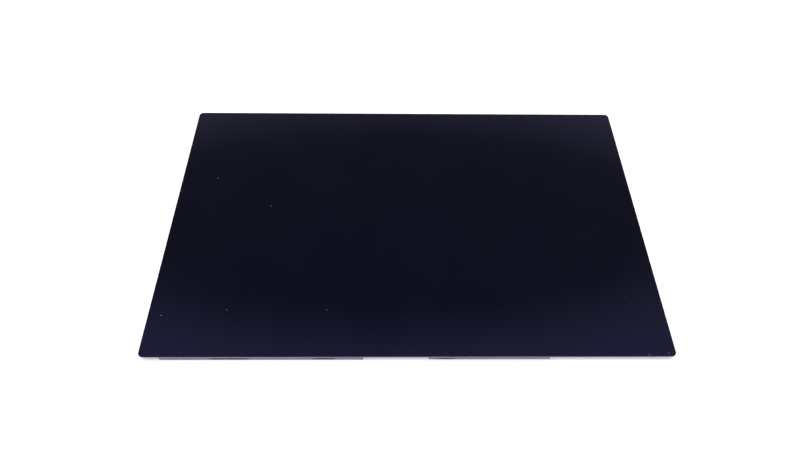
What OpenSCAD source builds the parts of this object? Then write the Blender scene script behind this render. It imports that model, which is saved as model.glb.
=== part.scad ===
// Touch display module: a black bordered cover glass bonded over a liquid crystal panel, with
// its edge-lit backlight in a pressed rear cover and two circuit boards under the near border.
// X runs along the picture's width, Y from the near edge to the far edge, Z up through the glass.
// The origin is the middle of the module's outline, on the surface that its rear cover lies on.

/* [Picture area] */
// Width of the picture area
active_w = 293.8; // [290:0.2:302]
// Depth of the picture area
active_d = 165.2; // [158:0.2:172]

/* [Cover glass] */
// Glass beyond the picture at each side
side_border = 16.1; // [13:0.1:20]
// Glass beyond the picture at the near edge, over the boards
near_border = 20; // [19.8:0.1:23]
// Glass beyond the picture at the far edge
far_border = 18.8; // [12:0.1:24]
// Thickness of the cover glass
glass_t = 0.8; // [0.5:0.05:1.1]
// Corner radius of the cover glass
glass_corner_r = 3; // [1:0.1:6]
// Ground chamfer along both faces of the cover glass
glass_chamfer = 0.15; // [0.05:0.01:0.2]
// Thickness of the black border print
print_t = 0.05; // [0.03:0.01:0.1]
// Bare rim of glass outside the border print
print_rim = 0.3; // [0.25:0.05:0.6]
// Clear window beyond the picture on each side
window_margin = 0.8; // [0.4:0.1:1.4]

/* [Touch sensor] */
// Thickness of the sensor film
sensor_t = 0.12; // [0.08:0.01:0.2]
// Sensor film beyond the picture at the sides and far edge
sensor_margin = 2.6; // [1.8:0.1:3.2]
// Sensor film beyond the picture at the near edge
sensor_near_margin = 6.2; // [5.4:0.1:7]
// Thickness of the adhesive between the sensor and the cover glass
lens_adhesive_t = 0.1; // [0.08:0.01:0.2]
// Thickness of the adhesive between the sensor and the panel
panel_adhesive_t = 0.2; // [0.1:0.01:0.25]
// How far each adhesive stays inside the layer that it bonds
adhesive_inset = 0.2; // [0.1:0.05:0.4]
// Width of one touch flex
touch_flex_w = 12; // [8:0.5:13]
// Distance from one touch flex to the next
touch_flex_pitch = 20; // [17:0.5:21]

/* [Liquid crystal panel] */
// Both panel glasses beyond the picture at the sides and far edge
cell_margin = 2.2; // [1.9:0.1:2.8]
// Ledge of the array glass that stands out at the near edge
ledge_d = 4.2; // [3.8:0.1:4.5]
// Thickness of the array glass
array_glass_t = 0.4; // [0.3:0.05:0.5]
// Thickness of the colour filter glass
filter_glass_t = 0.4; // [0.3:0.05:0.5]
// Thickness of each polarizer
polarizer_t = 0.2; // [0.14:0.01:0.24]
// Front polarizer beyond the picture on each side
front_polarizer_margin = 1.2; // [0.8:0.1:1.4]
// Rear polarizer beyond the picture on each side
rear_polarizer_margin = 0.5; // [0.3:0.1:0.7]
// Length of one driver chip
driver_chip_w = 22; // [16:0.5:26]
// Depth of one driver chip
driver_chip_d = 1.1; // [0.8:0.1:1.3]
// Height of one driver chip
driver_chip_t = 0.25; // [0.15:0.01:0.3]
// Distance from one driver chip to the next
driver_chip_pitch = 72; // [50:1:76]
// Number of driver chips
driver_chip_count = 4; // [2:1:4]

/* [Flexible circuits] */
// Thickness of the panel and touch flexes
flex_t = 0.1; // [0.06:0.01:0.14]
// Inside radius of a flex's bends
flex_bend_r = 0.35; // [0.2:0.05:0.4]
// Width of one panel flex
panel_flex_w = 24; // [18:0.5:28]
// Length of flex bonded to the panel's ledge or to the sensor
flex_bond = 1.2; // [0.8:0.1:1.5]
// Length of flex soldered to a board
flex_solder = 1.6; // [1.2:0.1:1.8]

/* [Backlight] */
// Thickness of the reflector sheet, and of the lamp strip beside it
reflector_t = 0.15; // [0.1:0.01:0.2]
// Thickness of the light guide, and height of the lamps that light its edge
guide_t = 1.1; // [0.9:0.05:1.3]
// Light guide beyond the picture at the near edge
guide_near_margin = 4.4; // [3.6:0.1:4.8]
// Thickness of the diffuser sheet
diffuser_t = 0.12; // [0.08:0.01:0.2]
// Thickness of each prism sheet
prism_t = 0.13; // [0.08:0.01:0.2]
// Sheets and light guide beyond the picture at the sides and far edge
sheet_margin = 0.6; // [0.4:0.1:0.7]
// Air between the sheets and the rear polarizer
sheet_air = 0.1; // [0.05:0.01:0.3]
// Length of a sheet's locating tab along the edge
sheet_tab_w = 10; // [6:0.5:14]
// How far a sheet's locating tab stands out
sheet_tab_d = 0.9; // [0.6:0.1:1.1]
// Length of one lamp
led_w = 3.8; // [3:0.1:4.4]
// Depth of one lamp
led_d = 1; // [0.8:0.1:1.3]
// Distance from one lamp to the next
led_pitch = 7.2; // [5:0.1:12]
// Clearance in front of and behind the lamps
led_gap = 0.15; // [0.05:0.05:0.3]
// Lamp strip beyond the outer lamps
lamp_strip_margin = 2; // [1:0.1:3]
// Lamp strip that runs under the light guide
lamp_strip_overlap = 1.6; // [1:0.1:2.4]
// Width of the lamp strip's tail
lamp_tail_w = 8; // [5:0.5:10]

/* [Mould frame] */
// Clearance between the mould frame and the rear cover's walls
frame_gap = 0.1; // [0.05:0.01:0.2]
// Width of the lip beside the panel
lip_w = 0.5; // [0.4:0.05:0.8]
// Clearance between the lip and the panel
cell_gap = 0.15; // [0.1:0.01:0.3]
// Frame opening beyond the picture on each side
opening_margin = 0.9; // [0.8:0.05:1.1]
// Width of the rail behind the lamps
near_rail_w = 1.4; // [1.2:0.1:1.6]
// Clearance between the light guide and the bridge over its near edge
bridge_gap = 0.05; // [0.02:0.01:0.1]
// Thickness of the tape under the panel's rim
rim_tape_t = 0.1; // [0.06:0.01:0.1]
// Length of one snap hook
hook_w = 6; // [4:0.5:10]
// How far a hook reaches into the rear cover's wall
hook_reach = 0.2; // [0.1:0.02:0.24]
// Height of one snap hook
hook_h = 0.7; // [0.5:0.05:0.8]
// Number of hooks on each side
side_hooks = 4; // [2:1:5]
// Number of hooks at the far edge
far_hooks = 6; // [2:1:8]

/* [Rear cover] */
// Thickness of the rear cover's sheet
cover_t = 0.3; // [0.25:0.01:0.4]
// Outer corner radius of the rear cover
cover_corner_r = 1.4; // [1:0.1:2]
// Height of the near wall above the sheet
near_wall_h = 1.3; // [1:0.05:1.4]
// Depth of the pressed stiffening beads
bead_depth = 0.5; // [0.4:0.01:0.6]
// Width of a bead where it leaves the sheet
bead_w = 5; // [4:0.1:8]
// Middle of the bead loop in from the rear cover's edge
bead_inset = 16; // [13:0.5:24]
// Corner radius of the bead loop at its middle
bead_corner_r = 9; // [6:0.5:16]
// Distance of each cross bead from the middle
bead_cross_x = 48; // [30:1:70]
// Thickness of the black tape round the edges
edge_tape_t = 0.05; // [0.03:0.01:0.1]

/* [Boards] */
// Thickness of both boards
board_t = 0.8; // [0.6:0.05:0.9]
// Thickness of the foam tape that holds the boards to the glass
board_tape_t = 0.8; // [0.6:0.05:0.9]
// Boards and tape in from the near edge of the glass
board_setback = 0.1; // [0.1:0.05:0.5]
// Room for the bends between the boards and the rear cover
bend_room = 1.8; // [1.7:0.05:2.2]
// Corner radius of the boards
board_corner_r = 0.8; // [0.4:0.1:1.5]
// Radius of the boards' tooling holes
tooling_hole_r = 0.75; // [0.5:0.05:0.9]
// Length of the control board
control_board_w = 123; // [121:1:132]
// Left end of the control board beyond the rear cover's left side
control_board_overhang = 0.7; // [0:0.1:1]
// Length of the touch board
touch_board_w = 74; // [72:1:80]
// Left end of the touch board right of the middle
touch_board_left = 12; // [10:0.5:20]
// Middle of the display socket right of the control board's left end
display_socket_u = 42.2; // [40:0.2:46]
// Middle of the link socket left of the control board's right end
link_socket_inset = 24; // [22:0.2:26]
// Middle of the lamp strip's tail left of the control board's right end
lamp_tail_inset = 12; // [8:0.5:14]
// Middle of the left panel flex right of the control board's left end
panel_flex_u = 16; // [13:0.5:20]
// Distance from one panel flex to the other
panel_flex_pitch = 60; // [50:1:66]
// Middle of the touch socket right of the touch board's left end
touch_socket_u = 10.6; // [9.8:0.2:12]
// Middle of the touch flexes left of the touch board's right end
touch_flex_inset = 28; // [27.5:0.5:34]
// Right end of the board tape in from the rear cover's right side
board_tape_inset = 0; // [0:0.5:6]
// Thickness of the shields over the boards
shield_t = 0.1; // [0.06:0.01:0.12]
// Depth of the control board's shield below the board
control_shield_drop = 2.1; // [2:0.05:2.2]
// Depth of the touch board's shield below the board
touch_shield_drop = 1.6; // [1.55:0.05:1.9]
// Length of shield that lies on the rear cover
shield_flap = 6; // [4:0.5:8]

/* [Sockets] */
// Height of every socket
socket_h = 1.5; // [1.3:0.02:1.5]
// Depth of every socket
socket_d = 4.4; // [4:0.1:5]
// Number of contacts in the display socket
display_contacts = 40; // [30:10:40]
// Distance between the display socket's contacts
display_contact_pitch = 0.5; // [0.4:0.05:0.5]
// Number of contacts in the link socket
link_contacts = 10; // [6:1:10]
// Number of contacts in the touch socket
touch_contacts = 8; // [6:1:8]
// Distance between the link and touch sockets' contacts
contact_pitch = 1; // [0.8:0.05:1]

/* [Hidden] */
$fn = 48;
// How far a cutting shape runs past the face that it opens
past = 0.2;

// Outline of the glass, with the picture's place in it
glass_w = active_w + 2 * side_border;
glass_d = active_d + near_border + far_border;
glass_near = -glass_d / 2;
picture_near = glass_near + near_border;
picture_far = picture_near + active_d;
picture_side = active_w / 2;

// Outline of the backlight unit's rear cover
unit_margin = cover_t + frame_gap + lip_w + cell_gap + cell_margin;
unit_side = picture_side + unit_margin;
unit_far = picture_far + unit_margin;
guide_near = picture_near - guide_near_margin;
lamp_near = guide_near - led_gap - led_d;
rail_inner = lamp_near - led_gap;
frame_near = rail_inner - near_rail_w;
unit_near = frame_near - frame_gap - cover_t;
frame_side = unit_side - cover_t - frame_gap;
frame_far = unit_far - cover_t - frame_gap;
frame_corner_r = cover_corner_r - cover_t - frame_gap;

// Heights of the layers, from the surface up
z_cover = bead_depth;
z_floor = z_cover + cover_t;
z_guide = z_floor + reflector_t;
z_diffuser = z_guide + guide_t;
z_lower_prism = z_diffuser + diffuser_t;
z_upper_prism = z_lower_prism + prism_t;
z_rear_polarizer = z_upper_prism + prism_t + sheet_air;
z_array = z_rear_polarizer + polarizer_t;
z_frame_top = z_array - rim_tape_t;
z_filter = z_array + array_glass_t;
z_front_polarizer = z_filter + filter_glass_t;
z_panel_adhesive = z_front_polarizer + polarizer_t;
z_sensor = z_panel_adhesive + panel_adhesive_t;
z_lens_adhesive = z_sensor + sensor_t;
z_print = z_lens_adhesive + lens_adhesive_t;
z_glass = z_print + print_t;
z_bridge = z_diffuser + bridge_gap;

// As many lamps as fit between the ends of the room for them
lamp_end_gap = 0.3;
lamp_room = 2 * (picture_side + opening_margin - lamp_strip_margin - lamp_end_gap);
led_count = floor((lamp_room - led_w) / led_pitch) + 1;

// Edges of the panel glasses
cell_side = picture_side + cell_margin;
cell_far = picture_far + cell_margin;
filter_near = picture_near - cell_margin;
array_near = filter_near - ledge_d;

// Boards, which hang from the tape under the near border with their parts facing down
board_near = glass_near + board_setback;
board_far = unit_near - bend_room;
board_d = board_far - board_near;
z_board = z_print - board_tape_t - board_t;
control_left = -unit_side - control_board_overhang;
tape_right = unit_side - board_tape_inset;
// Clearance between the far edge of a board and the start of a bend, and of a bend from the wall
bend_clear = 0.2;
tail_room = lamp_tail_w / 2 + bend_clear;

// Sizes of the parts, as [length, depth, height]
timing_size = [6, 6, 0.85];
driver_size = [4, 4, 0.8];
regulator_size = [5, 4, 0.8];
memory_size = [3, 4, 0.6];
coil_size = [4, 4, 1.8];
// Round top of a coil's core
coil_cap_r = 1.7;
coil_cap_h = 0.3;
touch_controller_size = [6, 6, 0.85];
touch_regulator_size = [2.9, 1.6, 1];
capacitor_size = [1.6, 0.8, 0.8];
// Length of the metal at each end of a capacitor, which stands proud of the ceramic
terminal_l = 0.35;
terminal_lap = 0.04;
pad_r = 0.5;
pad_t = 0.04;
contact_w = 0.22;
contact_t = 0.12;
shell_t = 0.1;
shell_foot = 0.8;
shell_inset = 0.3;
// Plastic of a socket beyond its outer contacts
socket_cheek = 2.4;
// Plastic between a socket's mouth and the board
socket_roof = 0.3;
mouth_h = 0.9;
mouth_depth = 3.2;
// Contacts in from the socket's face, and their feet behind its body
socket_lead = 0.4;
contact_foot = 0.7;

// Length of a socket's body for a number of contacts
function socket_w(count, pitch) = (count - 1) * pitch + 2 * socket_cheek;

display_half = socket_w(display_contacts, display_contact_pitch) / 2;
link_half = socket_w(link_contacts, contact_pitch) / 2;
touch_half = socket_w(touch_contacts, contact_pitch) / 2;

// Middles along X of what stands on the boards. Parts beside a socket keep a clearance from it,
// and the parts between the two sockets share the room there.
part_gap = 1.2;
control_right = control_left + control_board_w;
display_socket_x = control_left + display_socket_u;
link_socket_x = control_right - link_socket_inset;
lamp_tail_x = control_right - lamp_tail_inset;
panel_flex_x = control_left + panel_flex_u;
display_left = display_socket_x - display_half - shell_foot;
display_right = display_socket_x + display_half + shell_foot;
link_left = link_socket_x - link_half;
link_right = link_socket_x + link_half;
input_coil_x = display_left - part_gap - coil_size[0] / 2;
output_coil_x = input_coil_x - part_gap - coil_size[0];
regulator_x = output_coil_x - coil_size[0] / 2 - part_gap - regulator_size[0] / 2;
shared = timing_size[0] + memory_size[0] + driver_size[0] + coil_size[0];
shared_gaps = 5;
shared_gap = (link_left - display_right - shared) / shared_gaps;
timing_x = display_right + shared_gap + timing_size[0] / 2;
memory_x = timing_x + timing_size[0] / 2 + shared_gap + memory_size[0] / 2;
driver_x = memory_x + memory_size[0] / 2 + shared_gap + driver_size[0] / 2;
boost_coil_x = driver_x + driver_size[0] / 2 + shared_gap + coil_size[0] / 2;

touch_right = touch_board_left + touch_board_w;
touch_socket_x = touch_board_left + touch_socket_u;
touch_socket_right = touch_socket_x + touch_half;
touch_flex_x = touch_right - touch_flex_inset;
touch_regulator_x = touch_socket_right + part_gap + touch_regulator_size[0] / 2;
touch_controller_x = touch_regulator_x + touch_regulator_size[0] / 2 + 3 * part_gap
    + touch_controller_size[0] / 2;
touch_controller_right = touch_controller_x + touch_controller_size[0] / 2;

// Middles of the larger parts along Y, half way between the near edge and the soldered flexes
part_y = board_near + (board_d - flex_solder) / 2;
// Rows of capacitors run on both sides of that line
row_offset = 2.9;
capacitor_pitch = 2.2;
// Boards keep clear of small parts round the tooling holes
tooling_inset = 3.2;
board_rim = 5.5;

// Rows of capacitors as [start, end, side of the middle line]
control_rows = [[control_left + board_rim, display_left - part_gap, -1],
    [control_left + board_rim, regulator_x, 1],
    [timing_x + timing_size[0] / 2 + part_gap, link_left - part_gap, -1],
    [timing_x + timing_size[0] / 2 + part_gap, link_left - part_gap, 1],
    [link_right + part_gap, control_right - board_rim, -1],
    [link_right + part_gap, control_right - board_rim, 1]];
touch_rows = [[touch_socket_right + part_gap, touch_controller_x - touch_controller_size[0] / 2
        - part_gap, -1],
    [touch_socket_right + part_gap, touch_controller_x - touch_controller_size[0] / 2
        - part_gap, 1],
    [touch_controller_right + part_gap, touch_right - board_rim, -1],
    [touch_controller_right + part_gap, touch_flex_x, 1]];
// Rows of test pads on the middle line as [start, end]
pad_rows = [[link_right + part_gap, control_right - board_rim],
    [touch_controller_right + part_gap, touch_flex_x]];
// Windows in the shields under the parts, as [start, end]
control_windows = [[regulator_x - regulator_size[0] / 2 - part_gap, display_left],
    [timing_x - timing_size[0] / 2 - part_gap, link_left]];
touch_windows = [[touch_socket_right + part_gap, touch_controller_right + part_gap],
    [touch_controller_right + 2 * part_gap, touch_flex_x]];

// A block between two corners, given as its span along each axis
module block(x, y, z) {
    translate([x[0], y[0], z[0]])
        cube([x[1] - x[0], y[1] - y[0], z[1] - z[0]]);
}

// A block that reaches as far to the left as to the right
module sheet(side, y, z) {
    block([-side, side], y, z);
}

// A rectangle with round corners, flat
module round_outline(x, y, r) {
    translate([x[0] + r, y[0]])
        square([x[1] - x[0] - 2 * r, y[1] - y[0]]);
    translate([x[0], y[0] + r])
        square([x[1] - x[0], y[1] - y[0] - 2 * r]);
    for (cx = [x[0] + r, x[1] - r], cy = [y[0] + r, y[1] - r])
        translate([cx, cy])
            circle(r);
}

module round_block(x, y, z, r) {
    translate([0, 0, z[0]])
        linear_extrude(z[1] - z[0])
            round_outline(x, y, r);
}

// A flat shape drawn in the plane of Y and Z, drawn out along X
module along_x(x) {
    translate([x[0], 0, 0])
        rotate([90, 0, 90])
            linear_extrude(x[1] - x[0])
                children();
}

// A flat shape drawn in the plane of X and Z, drawn out along Y
module along_y(y) {
    translate([0, y[1], 0])
        rotate([90, 0, 0])
            linear_extrude(y[1] - y[0])
                children();
}

// Part of a ring between two angles, which lie up to 90 degrees apart
module arc_band(r, t, from, to) {
    reach = 2 * (r + t);
    middle = (from + to) / 2;
    intersection() {
        difference() {
            circle(r + t / 2);
            circle(r - t / 2);
        }
        polygon([[0, 0], [reach * cos(from), reach * sin(from)],
            [reach * cos(middle), reach * sin(middle)], [reach * cos(to), reach * sin(to)]]);
    }
}

// Angle that each of the two bends of a ribbon turns through for a drop
function bend_angle(drop, r) = drop < 2 * r ? acos(1 - drop / (2 * r)) : 90;
// Length along the surface that the two bends take
function bend_length(drop, r) = 2 * r * sin(bend_angle(drop, r));

// Two opposite bends that start level at the origin and end level, lower by the drop
module double_bend(drop, t, r) {
    a = bend_angle(drop, r);
    upright = drop - 2 * r;
    translate([0, -r])
        arc_band(r, t, 90 - a, 90);
    if (upright > 0)
        translate([r - t / 2, -r - upright])
            square([t, upright]);
    translate([bend_length(drop, r), r - drop])
        arc_band(r, t, 270 - a, 270);
}

// A ribbon that comes from the far side at one height, bends twice and goes on at another.
// The heights are those of its middle.
module ribbon(x, far, bend, near, z_far, z_near, t) {
    r = flex_bend_r + t / 2;
    drop = abs(z_far - z_near);
    bent = drop > 0.001;
    run = bent ? bend_length(drop, r) : 0;
    along_x(x)
        translate([bend, 0])
            mirror([1, 0])
                union() {
                    translate([bend - far, z_far - t / 2])
                        square([far - bend, t]);
                    if (bent)
                        translate([0, z_far])
                            mirror([0, z_near > z_far ? 1 : 0])
                                double_bend(drop, t, r);
                    translate([run, z_near - t / 2])
                        square([bend - near - run, t]);
                }
}

// Half of the cover glass's section between two distances from its middle, ground at the edge
module ground_section(inner, edge) {
    c = glass_chamfer;
    polygon([[inner, 0], [edge - c, 0], [edge, c], [edge, glass_t - c], [edge - c, glass_t],
        [inner, glass_t]]);
}

// Glass with both faces' edges ground all round and at the corners
module cover_glass() {
    r = glass_corner_r;
    side = glass_w / 2;
    edge = glass_d / 2;
    color("black")
        translate([0, 0, z_glass])
            for (turn = [0, 1])
                mirror([turn, 0, 0]) {
                    along_y([r - edge, edge - r])
                        ground_section(0, side);
                    for (flip = [0, 1])
                        mirror([0, flip, 0]) {
                            along_x([0, side - r])
                                ground_section(edge - r, edge);
                            translate([side - r, edge - r, 0])
                                rotate_extrude(angle = 90)
                                    ground_section(0, r);
                        }
                }
}

module border_print() {
    side = glass_w / 2 - print_rim;
    edge = glass_d / 2 - print_rim;
    clear = picture_side + window_margin;
    color("black")
        difference() {
            round_block([-side, side], [-edge, edge], [z_print, z_glass],
                glass_corner_r - print_rim);
            sheet(clear, [picture_near - window_margin, picture_far + window_margin],
                [z_print - past, z_glass + past]);
        }
}

// Fills the step of the border print as well as the gap between the sensor and the glass
module lens_adhesive() {
    side = picture_side + sensor_margin - adhesive_inset;
    color("gainsboro", 0.5) {
        sheet(side, [picture_near - sensor_near_margin + adhesive_inset,
            picture_far + sensor_margin - adhesive_inset], [z_lens_adhesive, z_print]);
        sheet(picture_side + window_margin,
            [picture_near - window_margin, picture_far + window_margin], [z_print, z_glass]);
    }
}

module touch_sensor() {
    color("lightsteelblue", 0.6)
        sheet(picture_side + sensor_margin,
            [picture_near - sensor_near_margin, picture_far + sensor_margin],
            [z_sensor, z_lens_adhesive]);
}

module panel_adhesive() {
    margin = front_polarizer_margin - adhesive_inset;
    color("gainsboro", 0.5)
        sheet(picture_side + margin, [picture_near - margin, picture_far + margin],
            [z_panel_adhesive, z_sensor]);
}

module polarizer(margin, z) {
    color([0.12, 0.12, 0.16])
        sheet(picture_side + margin, [picture_near - margin, picture_far + margin],
            [z, z + polarizer_t]);
}

module front_polarizer() {
    polarizer(front_polarizer_margin, z_front_polarizer);
}

module rear_polarizer() {
    polarizer(rear_polarizer_margin, z_rear_polarizer);
}

module filter_glass() {
    color("slategray", 0.7)
        sheet(cell_side, [filter_near, cell_far], [z_filter, z_front_polarizer]);
}

module array_glass() {
    color("lightslategray", 0.7)
        sheet(cell_side, [array_near, cell_far], [z_array, z_filter]);
}

// Chips bonded on the ledge, just in front of the filter glass
module driver_chips() {
    setback = 0.6;
    far = filter_near - setback;
    color([0.2, 0.2, 0.22])
        for (i = [0 : driver_chip_count - 1]) {
            x = (i - (driver_chip_count - 1) / 2) * driver_chip_pitch;
            block([x - driver_chip_w / 2, x + driver_chip_w / 2], [far - driver_chip_d, far],
                [z_filter, z_filter + driver_chip_t]);
        }
}

// From the panel's ledge over the rear cover's near wall to the control board's underside, round
// its middle at x
module panel_flex(x) {
    color("darkorange")
        ribbon([x - panel_flex_w / 2, x + panel_flex_w / 2], array_near + flex_bond,
            unit_near - bend_clear, board_far - flex_solder, z_filter + flex_t / 2,
            z_board - flex_t / 2, flex_t);
}

// From the sensor film's underside to the touch board's underside, round its middle at x
module touch_flex(x) {
    color("darkorange")
        ribbon([x - touch_flex_w / 2, x + touch_flex_w / 2],
            picture_near - sensor_near_margin + flex_bond, unit_near - bend_clear,
            board_far - flex_solder, z_sensor - flex_t / 2, z_board - flex_t / 2, flex_t);
}

// Double-sided tape that seats the array glass on the mould frame
module rim_tape() {
    inset = 0.15;
    inner = opening_margin + inset;
    color([0.08, 0.08, 0.08])
        difference() {
            sheet(cell_side - inset, [array_near + inset, cell_far - inset],
                [z_frame_top, z_array]);
            sheet(picture_side + inner, [picture_near - inner, picture_far + inner],
                [z_frame_top - past, z_array + past]);
        }
}

// Thin black tape round three sides, folded over the lip onto the filter glass
module edge_tape() {
    side = unit_side + edge_tape_t;
    fold = front_polarizer_margin + adhesive_inset;
    low = z_floor;
    top = z_front_polarizer + edge_tape_t;
    start = filter_near - 2 * cover_corner_r;
    color([0.06, 0.06, 0.06])
        difference() {
            round_block([-side, side], [start, unit_far + edge_tape_t], [low, top],
                cover_corner_r + edge_tape_t);
            round_block([-unit_side, unit_side], [start - cover_corner_r, unit_far],
                [low - past, z_front_polarizer], cover_corner_r);
            sheet(picture_side + fold, [start - past, picture_far + fold],
                [low - past, top + past]);
            sheet(side + past, [start - past, filter_near], [low - past, top + past]);
        }
}

// Middles of a number of equal shares of a span
function spread(count, from, to) = [for (i = [0 : count - 1])
    from + (to - from) * (i + 0.5) / count];

// Foot of the hooks above the rear cover's floor, and the share of their height that slopes
hook_foot = 0.2;
hook_slope = 0.4;

// Places a child at each hook, with X pointing out through the wall
module hook_places() {
    for (y = spread(side_hooks, filter_near, frame_far), side = [0, 1])
        mirror([side, 0, 0])
            translate([frame_side, y, z_floor + hook_foot])
                children();
    for (x = spread(far_hooks, -frame_side, frame_side))
        translate([x, frame_far, z_floor + hook_foot])
            rotate([0, 0, 90])
                children();
}

// A hook that is flat on top and slopes below, so that the rear cover snaps on from below
module hook() {
    reach = frame_gap + hook_reach;
    slope_h = hook_h * hook_slope;
    along_y([-hook_w / 2, hook_w / 2])
        polygon([[-past, 0], [reach / 2, 0], [reach, slope_h], [reach, hook_h], [-past, hook_h]]);
}

// Window through the rear cover's wall round a hook
module hook_window() {
    clear = 0.15;
    half = hook_w / 2 + clear;
    block([-past, frame_gap + cover_t + past], [-half, half], [-clear, hook_h + clear]);
}

// Where the locating tabs of the three sheets stand along the far edge
diffuser_tab_x = -90;
lower_prism_tab_x = -50;
upper_prism_tab_x = 50;
tab_clear = 0.15;
// Ears of the light guide, at both sides near its far end
ear_l = 8;
ear_d = 0.9;
ear_y = picture_far - 30;

module mould_frame() {
    opening_side = picture_side + opening_margin;
    opening_far = picture_far + opening_margin;
    lip_inner = cell_side + cell_gap;
    color([0.9, 0.9, 0.88])
        difference() {
            union() {
                round_block([-frame_side, frame_side], [frame_near, frame_far],
                    [z_floor, z_front_polarizer], frame_corner_r);
                hook_places()
                    hook();
            }
            // Seat of the panel, which leaves the lip on three sides
            sheet(lip_inner, [frame_near - past, cell_far + cell_gap],
                [z_frame_top, z_front_polarizer + past]);
            sheet(frame_side + past, [frame_near - past, filter_near],
                [z_frame_top, z_front_polarizer + past]);
            // Opening over the picture
            sheet(opening_side, [picture_near - opening_margin, opening_far],
                [z_floor - past, z_frame_top + past]);
            // Room for the light guide and the lamps under the bridge
            sheet(opening_side, [rail_inner, picture_near], [z_floor - past, z_bridge]);
            // Slot for the lamp strip's tail
            block([lamp_tail_x - tail_room, lamp_tail_x + tail_room],
                [frame_near - past, rail_inner + past], [z_floor - past, z_guide + bridge_gap]);
            // Pockets for the light guide's ears and the sheets' tabs
            sheet(picture_side + sheet_margin + ear_d + tab_clear,
                [ear_y - ear_l / 2 - tab_clear, ear_y + ear_l / 2 + tab_clear],
                [z_floor - past, z_bridge]);
            for (x = [diffuser_tab_x, lower_prism_tab_x, upper_prism_tab_x])
                block([x - sheet_tab_w / 2 - tab_clear, x + sheet_tab_w / 2 + tab_clear],
                    [picture_far, picture_far + sheet_margin + sheet_tab_d + tab_clear],
                    [z_diffuser - tab_clear, z_frame_top + past]);
        }
}

// One of the thin sheets over the light guide, with its locating tab
module tabbed_sheet(tab_x, z, t) {
    far = picture_far + sheet_margin;
    sheet(picture_side + sheet_margin, [picture_near - sheet_margin, far], [z, z + t]);
    block([tab_x - sheet_tab_w / 2, tab_x + sheet_tab_w / 2], [picture_far, far + sheet_tab_d],
        [z, z + t]);
}

module upper_prism_sheet() {
    color("whitesmoke", 0.8)
        tabbed_sheet(upper_prism_tab_x, z_upper_prism, prism_t);
}

module lower_prism_sheet() {
    color("whitesmoke", 0.8)
        tabbed_sheet(lower_prism_tab_x, z_lower_prism, prism_t);
}

module diffuser_sheet() {
    color("white")
        tabbed_sheet(diffuser_tab_x, z_diffuser, diffuser_t);
}

module light_guide() {
    side = picture_side + sheet_margin;
    color("lightcyan", 0.7) {
        sheet(side, [guide_near, picture_far + sheet_margin], [z_guide, z_diffuser]);
        sheet(side + ear_d, [ear_y - ear_l / 2, ear_y + ear_l / 2], [z_guide, z_diffuser]);
    }
}

module reflector_sheet() {
    seam = 0.2;
    color("white")
        sheet(picture_side + sheet_margin,
            [guide_near + lamp_strip_overlap + seam, picture_far + sheet_margin],
            [z_floor, z_guide]);
}

// Flexible strip under the lamps, with the tail that climbs to the control board
module lamp_strip() {
    side = ((led_count - 1) * led_pitch + led_w) / 2 + lamp_strip_margin;
    middle = (z_floor + z_guide) / 2;
    color("ivory") {
        sheet(side, [rail_inner, guide_near + lamp_strip_overlap], [z_floor, z_guide]);
        ribbon([lamp_tail_x - lamp_tail_w / 2, lamp_tail_x + lamp_tail_w / 2], rail_inner + led_d,
            unit_near - bend_clear, board_far - flex_solder, middle, z_board - reflector_t / 2,
            reflector_t);
    }
}

// Recess in a lamp's face, on the side of the light guide, with the housing left beside it
lamp_cheek = 0.3;
lamp_window_w = led_w - 2 * lamp_cheek;
lamp_window_d = 0.3;
lamp_window_share = 0.65;
lamp_window_h = guide_t * lamp_window_share;

module lamp_row() {
    for (i = [0 : led_count - 1])
        translate([(i - (led_count - 1) / 2) * led_pitch, lamp_near, z_guide])
            children();
}

module lamp_window() {
    low = (guide_t - lamp_window_h) / 2;
    block([-lamp_window_w / 2, lamp_window_w / 2], [led_d - lamp_window_d, led_d],
        [low, low + lamp_window_h]);
}

module lamp_housings() {
    color("white")
        lamp_row()
            difference() {
                block([-led_w / 2, led_w / 2], [0, led_d], [0, guide_t]);
                lamp_window();
            }
}

module lamp_windows() {
    color("gold")
        lamp_row()
            lamp_window();
}

// Section of a pressed bead from its narrow foot at one height to its wide mouth at another
module bead_section(foot, mouth, low, high) {
    polygon([[-foot, low], [foot, low], [mouth, high], [-mouth, high]]);
}

// The loop of beads with its two cross beads, for the outside or the inside of the sheet
module beads(foot, mouth, low, high) {
    side = unit_side - bead_inset;
    near = unit_near + bead_inset;
    far = unit_far - bead_inset;
    r = bead_corner_r;
    for (x = [-side, side])
        translate([x, 0, 0])
            along_y([near + r, far - r])
                bead_section(foot, mouth, low, high);
    for (x = [-bead_cross_x, bead_cross_x])
        translate([x, 0, 0])
            along_y([near, far])
                bead_section(foot, mouth, low, high);
    for (y = [near, far])
        translate([0, y, 0])
            along_x([r - side, side - r])
                bead_section(foot, mouth, low, high);
    for (turn = [[side - r, far - r, 0], [r - side, far - r, 90], [r - side, near + r, 180],
        [side - r, near + r, 270]])
        translate([turn[0], turn[1], 0])
            rotate([0, 0, turn[2]])
                rotate_extrude(angle = 90)
                    translate([r, 0])
                        bead_section(foot, mouth, low, high);
}

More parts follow.
